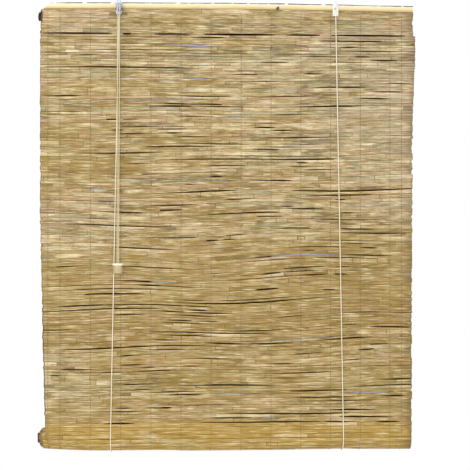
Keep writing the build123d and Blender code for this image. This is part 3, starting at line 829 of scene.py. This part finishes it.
def sheet_band():
    """The hanging sheet in three pieces, its seams standing open in many places."""
    draw = random.Random(7)
    edges = slat_edges(sheet_length, draw)
    seams = [new_seam(draw, 0.3 * mm, 0.35 * mm) for _ in edges]
    hem_line(seams[0], draw)
    for edge, seam in list(zip(edges, seams))[1:-1]:
        z = hem_end_z - edge
        nearest = min(abs(z + depth * mm) for depth in long_seams)
        if nearest < slat_width / 2:
            add_gaps(seam, draw, 3, 110 * mm, 90 * mm, 2.2 * mm, 3.8 * mm)
        elif z > golden_z + slat_width:
            add_gaps(seam, draw, draw.choice((1, 2, 2, 3)), 30 * mm, 75 * mm, 1.2 * mm, 3.6 * mm)
        elif z > golden_z - slat_width:
            add_gaps(seam, draw, 4, 60 * mm, 75 * mm, 2.4 * mm, 3.6 * mm)
    for middle, z, length in np.array(painted_backlight_gaps) * mm:
        nearest_seam = min(zip(edges, seams), key=lambda pair: abs(hem_end_z - pair[0] - z))[1]
        add_gap(nearest_seam, draw, middle - length / 2, length, 3.4 * mm)
        nearest_seam["gaps"][-1]["painted_backlight"] = 0.9
    pieces = []
    half = len(edges) // 2
    foot = next(number for number, edge in enumerate(edges) if hem_end_z - edge < golden_z)
    for name, numbers, style, straw in (
        ("sheet_slats_upper", range(half), sheet_style, slat_straw),
        ("sheet_slats_lower", range(half, foot), sheet_style, slat_straw),
        ("sheet_slats_foot", range(foot, len(edges) - 1), roll_style, roll_straw),
    ):
        store = new_store()
        for number in numbers:
            # The left edge drifts inward lower down, and the right one stands out near the top
            inward = max(0, (edges[number] / sheet_length - 0.4) / 0.55) ** 1.3
            left = mat_left - 0.5 * mm + 11.5 * mm * inward + draw.gauss(0, 0.6 * mm)
            spread = np.interp(edges[number], (0.07, 0.09, 0.2, 0.6), np.array((8.5, 6.5, 2.5, 0.5)) * mm)
            right = mat_right + float(spread) - abs(draw.gauss(0, 1.4 * mm))
            cuts = tone_blocks(draw, style)
            lay_slat(store, draw, (sheet_path, edges, seams), number, cuts, style, left, right, 22)
        store["points"] = [drifted(points) for points in store["points"]]
        pieces.append(band_piece(name, store, straw, "slat_mat"))
    return pieces, edges, foot


def hem_band():
    """The hem round the head pole, closer and smoother than the sheet."""
    draw = random.Random(11)
    behind = slat_edges(hem_corner, draw)
    in_front = slat_edges(front_top_z - hem_end_z, draw)
    edges = behind[:-1] + [hem_corner + edge for edge in in_front]
    edges[-1] += joint_gap
    seams = [new_seam(draw, 0.25 * mm, 0.08 * mm) for _ in edges]
    hem_line(seams[-1], draw)
    store = new_store()
    for number in range(len(edges) - 1):
        # The first seams in front follow the rail's warp
        below_corner = number - (len(behind) - 1)
        if 0 <= below_corner < 3:
            seams[number]["bow"] = 1 - below_corner / 3
        # The slats in front of the pole stop short of its open end
        place_y, place_z = hem_path((edges[number] + edges[number + 1]) / 2)
        by_pole = place_y < head_pole_y and abs(place_z - head_pole_z) < 12 * mm
        left = mat_left + (5 * mm if by_pole else 0) + draw.gauss(0, 0.8 * mm)
        # Those just under the rail are painted paler, as painted light against the rail's shadow
        painted_light_share = max(0, (place_z - head_pole_z) / hem_radius) if place_y < head_pole_y else 0
        style = hem_style | {"tone": hem_style["tone"] + 0.12 * painted_light_share**2}
        cuts = tone_blocks(draw, style)
        right = hem_right - abs(draw.gauss(0, 1.0 * mm))
        lay_slat(store, draw, (hem_path, edges, seams), number, cuts, style, left, right, 26)
    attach(band_piece("hem_slats", store, slat_straw, "mat_hem"), "root")
    return edges


def tapered_roll(points):
    """Draw the turns closer to the core at the left end and let them hang looser between the cords."""
    from_left = clipped((-310 * mm - points[:, 0]) / (140 * mm))
    places = np.array((-160, -90, 130, 200, 440)) * mm
    loose = np.interp(points[:, 0], places, (0, 0.12, 0.12, 0.06, 0.13))
    pinched = bump(points[:, 0], sling_x, 22 * mm)
    across = points[:, 1:] - np.array((roll_y, roll_z))
    radius = np.linalg.norm(across, axis=1)
    # The slack hangs at the bottom
    hanging = clipped(-across[:, 1] / radius)
    tight = 0.34 * from_left**1.5 - loose * (1 - pinched) * hanging
    core = roll_core_path - slat_thickness / 2
    drawn = core + (radius - core) * (1 - tight)
    points[:, 1:] = np.array((roll_y, roll_z)) + across * (drawn / radius)[:, None]
    return points


def roll_band():
    """The rolled-up part of the mat; its inner turns stand out at the left and need few sections."""
    draw = random.Random(19)
    edges = slat_edges(roll_length, draw)
    seams = [new_seam(draw, 0.3 * mm, 0.06 * mm) for _ in edges]
    for seam in seams[1:-1]:
        add_gaps(seam, draw, draw.choice((0, 1, 1)), 30 * mm, 60 * mm, 0.8 * mm, 2.0 * mm)
    store = new_store()
    outer_turn = full_turn * roll_outer_path
    for number in range(len(edges) - 1):
        shown = edges[number] < outer_turn * 1.1
        telescoped = telescope_length * edges[number] / roll_length
        left = mat_left + roll_outer_inset - telescoped + draw.gauss(0, 0.5 * mm)
        right = mat_right - abs(draw.gauss(0, 0.8 * mm))
        cuts = tone_blocks(draw, roll_style)
        if not shown:
            cuts = cuts[:1]
        band = (roll_path, edges, seams)
        lay_slat(store, draw, band, number, cuts, roll_style, left, right, 30 if shown else 6)
    store["points"] = [tapered_roll(points) for points in store["points"]]
    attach(band_piece("roll_slats", store, roll_straw, "bottom_roll"), "roll")
    return [edge for edge in edges if edge < outer_turn * 1.1]


sheet_pieces, sheet_edges, sheet_foot = sheet_band()
hem_edges = hem_band()
outer_edges = roll_band()


def close_up(piece):
    """Attach a hanging piece to the root body, with a mesh of its own."""
    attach(piece, "root")
    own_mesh(piece)


# The sheet's foot lies against the roll and rides with the lift slings; the rest is attached to the root
for piece in sheet_pieces[:-1]:
    close_up(piece)
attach(sheet_pieces[-1], "lift_slings")


def ring_points(centre, side_way, other_way, radii):
    """Points round a centre, each at its own radius."""
    points = []
    for corner, radius in enumerate(radii):
        angle = full_turn * corner / len(radii)
        offset = side_way * math.cos(angle) + other_way * math.sin(angle)
        points.append(tuple(centre + offset * radius))
    return points


thread_radius = 0.35 * mm
thread_sides = 5
thread_columns = [(-432 * mm)] + [(-403 + 72.6 * number) * mm for number in range(12)] + [424 * mm]


def thread_band(name, path, edges, shape=None):
    """Two threads at each column that cross over in every seam, one passing in front while one is behind."""
    points = []
    faces = []
    reach = slat_thickness / 2 + 0.5 * thread_radius
    for column in thread_columns:
        for strand in (1, -1):
            centres = []
            for number in range(len(edges) - 1):
                start, end = edges[number], edges[number + 1]
                side = strand if number % 2 == 0 else -strand
                for share, depth in ((0.0, 0.0), (0.16, 0.9), (0.5, 1.12), (0.84, 0.9)):
                    place, _, out = path_frame(path, start + 0.03 * mm + share * (end - start))
                    lean = 0.35 * mm * math.cos(math.pi * share) * strand
                    spot = place + out * (side * depth * reach)
                    centres.append(Vector((column + lean, spot[0], spot[1])))
            # A thread's two ends stay open
            faces += tube_faces(len(centres), thread_sides, len(points))[:-2]
            for number, centre in enumerate(centres):
                ahead = centres[min(number + 1, len(centres) - 1)] - centres[max(number - 1, 0)]
                side_way = Vector((1, 0, 0))
                depth_way = ahead.cross(side_way).normalized()
                points += ring_points(centre, side_way, depth_way, [thread_radius] * thread_sides)
    if shape:
        points = shape(np.array(points))
    piece = mesh_piece(name, points, faces, thread_material)
    return piece


sheet_threads = thread_band("sheet_threads", sheet_path, sheet_edges[: sheet_foot + 1], drifted)
close_up(sheet_threads)
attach(thread_band("foot_threads", sheet_path, sheet_edges[sheet_foot:], drifted), "lift_slings")
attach(thread_band("hem_threads", hem_path, hem_edges), "root")
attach(thread_band("roll_threads", roll_path, outer_edges, tapered_roll), "roll")


def head_lath(material):
    """The head rail's lath: warped upward, mitred at its left end, notched where the pull cords pass over."""
    left = -442.5 * mm
    right = 452 * mm
    notch_left = -268.5 * mm
    notch_right = -255.5 * mm
    notch_depth = 2 * mm
    slanted_length = 60 * mm
    round_top = 1.6 * mm
    round_foot = 0.7 * mm
    draw = random.Random(23)
    waves = [(draw.uniform(0.1, 0.25) * mm, draw.uniform(0.09, 0.4), any_phase(draw)) for _ in range(4)]
    stations = list(np.linspace(left, right, 150))
    stations = [x for x in stations if abs(x - notch_left) > 1 * mm and abs(x - notch_right) > 1 * mm]
    for place in (notch_left, notch_right):
        stations += [place - 0.1 * mm, place + 0.1 * mm]
    points = []
    levels = []
    for x in sorted(stations):
        rise = float(rail_bow(x))
        ripple = sum(height * wave(x, length, phase) for height, length, phase in waves)
        top = rail_top_z + rise + ripple
        foot = rail_top_z - rail_height + rise
        if notch_left < x < notch_right:
            top = rail_top_z - notch_depth
        back_y = rail_front_y + rail_depth
        ring = (
            (rail_front_y, foot + round_foot), (rail_front_y + ripple / 2, (foot + top) / 2),
            (rail_front_y, top - round_top), (rail_front_y + 0.3 * round_top, top - 0.3 * round_top),
            (rail_front_y + round_top, top), (back_y - round_top, top), (back_y, top - round_top),
            (back_y, foot + round_foot), (back_y - round_foot, foot), (rail_front_y + round_foot, foot),
        )
        for y, z in ring:
            # Near its left end the lath is cut on the slant, so its upper points stand back
            share = (x - left) / slanted_length
            slant = (z - foot) * (rail_end_cut / rail_height) * (1 - share)
            points.append((left + slant + (x - left) if share < 1 else x, y, z))
            # The painted shadow line and the painted highlight stay on the front: the back points are held
            # low
            levels.append(z - rise if y < back_y - 2 * round_top else min(z - rise, -12 * mm))
    faces = tube_faces(len(stations), len(ring), flip=True)
    piece = mesh_piece("head_rail_lath", points, faces, material, {"level": levels}, crease_angle=30)
    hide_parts("head_rail")
    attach(piece, "root")


# How a bamboo pole's skin rises round a node, as steps along X and rises in mm
node_profile = ((-5, 0), (-2.5, 0.15), (-1.2, 0.6), (1.2, 0.6), (2.2, -0.3), (5, 0))


def bamboo_pole(name, left, right, radius, axis_y, axis_z, first_ring, slant, stain_and_shade_band, seed):
    """A hollow bamboo pole along X: nodes, an uneven girth, its left end cut on the slant and darkened partly
    by stain and partly as painted shade.
    """
    draw = random.Random(seed)
    bore = radius - pole_wall
    deep = 90 * mm
    closed = 0.2 * mm
    margin = 20 * mm
    # The hollow is painted near black as painted shade; the cut ends and a band of skin by the left end are
    # darkened partly by stain and partly as painted shade
    profile = [(left + deep, closed, 1.0), (left + deep, bore, 1.0), (left, bore, 1.0), (left, radius, 0.9)]
    profile.append((left + stain_and_shade_band, radius, 0.9))
    stations = [(x, 0.0) for x in np.linspace(left + margin, right - margin, 60)]
    ring = first_ring
    while ring < right - margin:
        stations = [(x, rise) for x, rise in stations if abs(x - ring) > 7 * mm]
        stations += [(ring + step * mm, rise * mm) for step, rise in node_profile]
        ring += pole_ring_pitch
    profile += [(x, radius + rise - draw.uniform(0, 0.15) * mm, 0.0) for x, rise in sorted(stations)]
    profile += [(right - 1.2 * mm, radius, 0.2), (right, radius, 0.5), (right, bore, 1.0)]
    profile += [(right - deep, bore, 1.0), (right - deep, closed, 1.0)]
    sides = 40
    points = []
    stain_and_shade = []
    for x, girth, stain_and_shade_share in profile:
        pull = clipped(1 - (x - left) / (40 * mm))
        for corner in range(sides):
            angle = full_turn * corner / sides
            across = girth * math.cos(angle)
            shift = slant * pull * (1 - across / radius) / 2
            points.append((x + shift, axis_y + across, axis_z + girth * math.sin(angle)))
            stain_and_shade.append(stain_and_shade_share)
    faces = tube_faces(len(profile), sides)
    piece = mesh_piece(name + "_bamboo", points, faces, skin_material, {"stain_and_shade": stain_and_shade})
    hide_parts(name)
    return piece


head_pole = bamboo_pole(
    "head_pole", -458 * mm, 442 * mm, head_pole_radius, head_pole_y, head_pole_z,
    first_ring=-370 * mm, slant=10 * mm, stain_and_shade_band=1.2 * mm, seed=3,
)
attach(head_pole, "root")
bottom_pole = bamboo_pole(
    "bottom_pole", -461 * mm, 452 * mm, bottom_pole_radius, roll_y, roll_z,
    first_ring=-300 * mm, slant=3 * mm, stain_and_shade_band=5 * mm, seed=5,
)
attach(bottom_pole, "roll")
head_lath(planed_lath())


def spline_line(name, route):
    """Points along the smooth line that a cord takes, with its route as control points."""
    curve = bpy.data.curves.new(name + "_line", "CURVE")
    curve.dimensions = "3D"
    curve.resolution_u = 24
    spline = curve.splines.new("NURBS")
    spline.points.add(len(route) - 1)
    for point, place in zip(spline.points, route):
        point.co = (*place, 1.0)
    spline.order_u = 3
    spline.use_endpoint_u = True
    holder = bpy.data.objects.new(name + "_line", curve)
    line_mesh = bpy.data.meshes.new_from_object(holder)
    line = [vertex.co.copy() for vertex in line_mesh.vertices]
    bpy.data.objects.remove(holder)
    bpy.data.meshes.remove(line_mesh)
    return line


def even_line(line, step):
    """The same line with its points an even step apart."""
    lengths = [0.0]
    for before, after in zip(line, line[1:]):
        lengths.append(lengths[-1] + (after - before).length)
    count = max(2, round(lengths[-1] / step))
    spots = np.linspace(0, lengths[-1], count + 1)
    places = np.array([tuple(point) for point in line])
    return [Vector([np.interp(spot, lengths, places[:, axis]) for axis in range(3)]) for spot in spots]


cord_sides = 12
lay_length = 9 * mm
cord_step = 1.1 * mm


def twisted_cord(name, route):
    """A cord of three strands laid round each other along its line."""
    line = even_line(spline_line(name, route), cord_step)
    points = []
    lay = []
    side_way = Vector((1, 0, 0))
    turned = 0.0
    for number, centre in enumerate(line):
        ahead = (line[min(number + 1, len(line) - 1)] - line[max(number - 1, 0)]).normalized()
        if abs(ahead.dot(side_way)) > 0.9:
            side_way = Vector((0, 0, 1))
        side_way = (side_way - ahead * ahead.dot(side_way)).normalized()
        other_way = ahead.cross(side_way)
        if number:
            turned += full_turn * (centre - line[number - 1]).length / lay_length
        angles = [full_turn * corner / cord_sides for corner in range(cord_sides)]
        # The swells also set the lay mark, which paints shade into the grooves between the strands
        swells = [abs(math.cos(1.5 * (angle - turned))) for angle in angles]
        radii = [cord_radius * (0.84 + 0.18 * swell) for swell in swells]
        points += ring_points(centre, side_way, other_way, radii)
        lay += swells
    faces = tube_faces(len(line), cord_sides)
    material = handled_cord if name.startswith("pull") else cord_material
    piece = mesh_piece(name + "_twisted", points, faces, material, {"lay": lay}, crease_angle=60)
    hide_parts(name)
    return piece, line


def straight_cord(name, top, end):
    """A cord that runs straight from its top, with a control point near it."""
    run = Vector(end) - Vector(top)
    near = 18 * mm
    return twisted_cord(name, [top, tuple(Vector(top) + run.normalized() * near), end])


rear_y = roll_y + sling_radius * math.cos(sling_rear_rise)
rear_z = roll_z + sling_radius * math.sin(sling_rear_rise)
eye_y = 34.25 * mm
eye_z = -16.5 * mm

for side, place in ((-1, "left"), (1, "right")):
    front_top = (side * hanger_x, knot_y, foot_top_z - joint_gap)
    front_end = (side * sling_x, roll_y - sling_radius, roll_z + joint_gap)
    rear_top = (side * hanger_x, eye_y, eye_z)
    rear_end = (side * sling_x, rear_y, rear_z + 0.8 * mm)
    for strand, top, end, with_pieces in (
        ("front", front_top, front_end, [f"foot_knot_{place}"]),
        ("rear", rear_top, rear_end, ()),
    ):
        piece, line = straight_cord(f"{strand}_cord_{place}", top, end)
        close_up(piece)

    # The sling's control points lie on eighths of a turn round the roll, outside its circle
    corner_radius = sling_radius / math.cos(math.pi / 8)
    sling_route = [(side * sling_x, roll_y - sling_radius, roll_z)]
    for eighth in range(4):
        angle = math.radians(180 + 22.5 + 45 * eighth)
        route_y = roll_y + corner_radius * math.cos(angle)
        sling_route.append((side * sling_x, route_y, roll_z + corner_radius * math.sin(angle)))
    sling_route.append((side * sling_x, rear_y + 0.7 * mm, roll_z + 3 * mm))
    sling_route.append((side * sling_x, rear_y, rear_z))
    piece, line = twisted_cord(f"cord_sling_{place}", sling_route)
    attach(piece, "lift_slings")

outer_x = -264.825 * mm
inner_x = -259.175 * mm
pull_top_z = -16.4 * mm
cross_z = -9.5 * mm
over_route = [
    (-hanger_x, eye_y, eye_z), (-hanger_x, eye_y, rail_top_z + 1.5 * mm),
    (outer_x, rail_front_y, rail_top_z), (outer_x, pull_y, rail_top_z), (outer_x, pull_y, pull_top_z),
]
cross_route = [
    (hanger_x, eye_y, eye_z), (hanger_x, eye_y, cross_z), (hanger_x - 7 * mm, eye_y, cross_z),
    (-240 * mm, eye_y, cross_z), (inner_x, eye_y, rail_top_z), (inner_x, -7.65 * mm, rail_top_z),
    (inner_x, pull_y, rail_top_z), (inner_x, pull_y, pull_top_z),
]
for name, route in (("over_cord_left", over_route), ("cross_cord", cross_route)):
    piece, line = twisted_cord(name, route)
    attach(piece, "root")

for name, top_x, side in (("pull_cord_outer", outer_x, -1), ("pull_cord_inner", inner_x, 1)):
    pull_top = (top_x, pull_y, pull_top_z)
    pull_end = (knob_x + side * 1.35 * mm, pull_y, -641.7 * mm)
    piece, line = straight_cord(name, pull_top, pull_end)
    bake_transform(piece)
    with_pieces = ["pull_knob", "pull_cap", "pull_knot"] if side < 0 else []


# Camera at the photograph's viewing angle, level and 3 m away
camera_target = Vector((17.8 * mm, 0, -562.2 * mm))
camera_distance = 3.0
camera_azimuth = math.radians(-3.0)
camera_roll = math.radians(0.02)
forward = Vector((-math.sin(camera_azimuth), math.cos(camera_azimuth), 0))
level_right = forward.cross(Vector((0, 0, 1))).normalized()
level_up = level_right.cross(forward)
right_way = level_right * math.cos(camera_roll) + level_up * math.sin(camera_roll)
up_way = level_up * math.cos(camera_roll) - level_right * math.sin(camera_roll)
turn = Matrix((right_way, up_way, -forward)).transposed()
camera_data = bpy.data.cameras.new("camera")
camera_data.sensor_width = 36
camera_data.lens = 95.02
camera = bpy.data.objects.new("camera", camera_data)
camera.matrix_world = Matrix.Translation(camera_target - forward * camera_distance) @ turn.to_4x4()
bpy.context.scene.collection.objects.link(camera)
bpy.context.scene.camera = camera


def soft_light(name, place, target, power):
    """A large soft lamp that looks at a point."""
    data = bpy.data.lights.new(name, "AREA")
    data.size = 1.6
    data.energy = power
    lamp = bpy.data.objects.new(name, data)
    direction = Vector(target) - Vector(place)
    lamp.matrix_world = Matrix.Translation(place) @ direction.to_track_quat("-Z", "Y").to_matrix().to_4x4()
    bpy.context.scene.collection.objects.link(lamp)


soft_light("key_light", (-1.3, -2.6, 0.5), (0, 0, -0.5), 38)
soft_light("fill_light", (2.2, 1.8, 0.5), (0, 0, -0.5), 15)
soft_light("low_light", (0.5, -2.8, -1.7), (0, 0, -0.3), 12)

world = bpy.data.worlds.new("studio")
world.use_nodes = True
background = world.node_tree.nodes["Background"]
background.inputs["Color"].default_value = (1.0, 1.0, 1.0, 1.0)
background.inputs["Strength"].default_value = 1.0
bpy.context.scene.world = world
bpy.context.scene.view_settings.view_transform = "Standard"

# A floor far below, of matt pale board
pale_floor, _, _ = new_material("pale_floor")
finish_material(pale_floor, linear("#F2F1EE"), 0.8)
floor_corners = [(-4, -4, -2.5), (4, -4, -2.5), (4, 4, -2.5), (-4, 4, -2.5)]
mesh_piece("floor", floor_corners, [(0, 1, 2, 3)], pale_floor)
